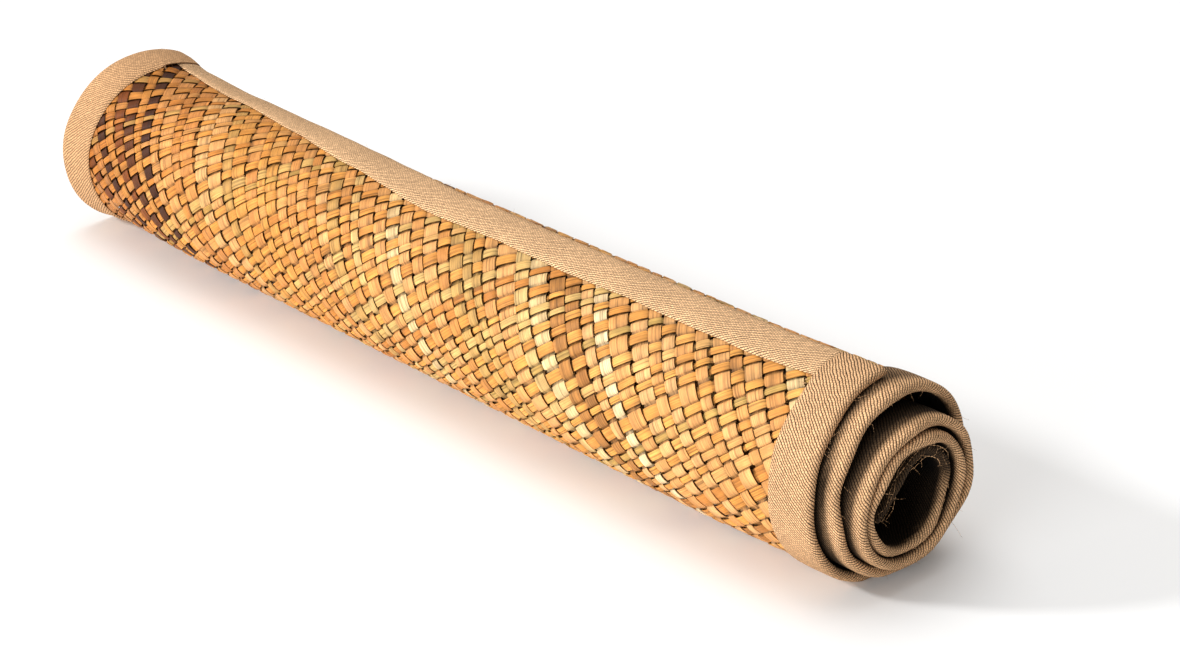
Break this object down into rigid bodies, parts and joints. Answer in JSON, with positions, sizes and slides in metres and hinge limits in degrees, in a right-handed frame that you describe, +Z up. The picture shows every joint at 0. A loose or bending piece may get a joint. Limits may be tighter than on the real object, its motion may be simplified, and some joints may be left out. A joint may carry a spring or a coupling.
{
  "type": "rolled mat",
  "caption": "Rolled-up mat of plaited flat seagrass strips, its edges bound in coarse tan cloth, lying on its side with the loose end on top.",
  "frame": {"origin": "on the floor plane under the middle of the roll's box", "axes": "+X along the roll towards its stepped open end, -Y the front, +Z up"},
  "size_m": [0.6304, 0.1055, 0.1074],
  "materials": {
    "seagrass_plait": "dry split seagrass, plaited flat, slightly waxy sheen",
    "binding_cloth": "coarse bias-cut jute cloth, matte"
  },
  "bodies": {
    "root": {"mat_panel": "seagrass_plait", "binding_near": "binding_cloth", "binding_far": "binding_cloth", "binding_outer": "binding_cloth", "binding_inner": "binding_cloth"}
  },
  "joints": []
}
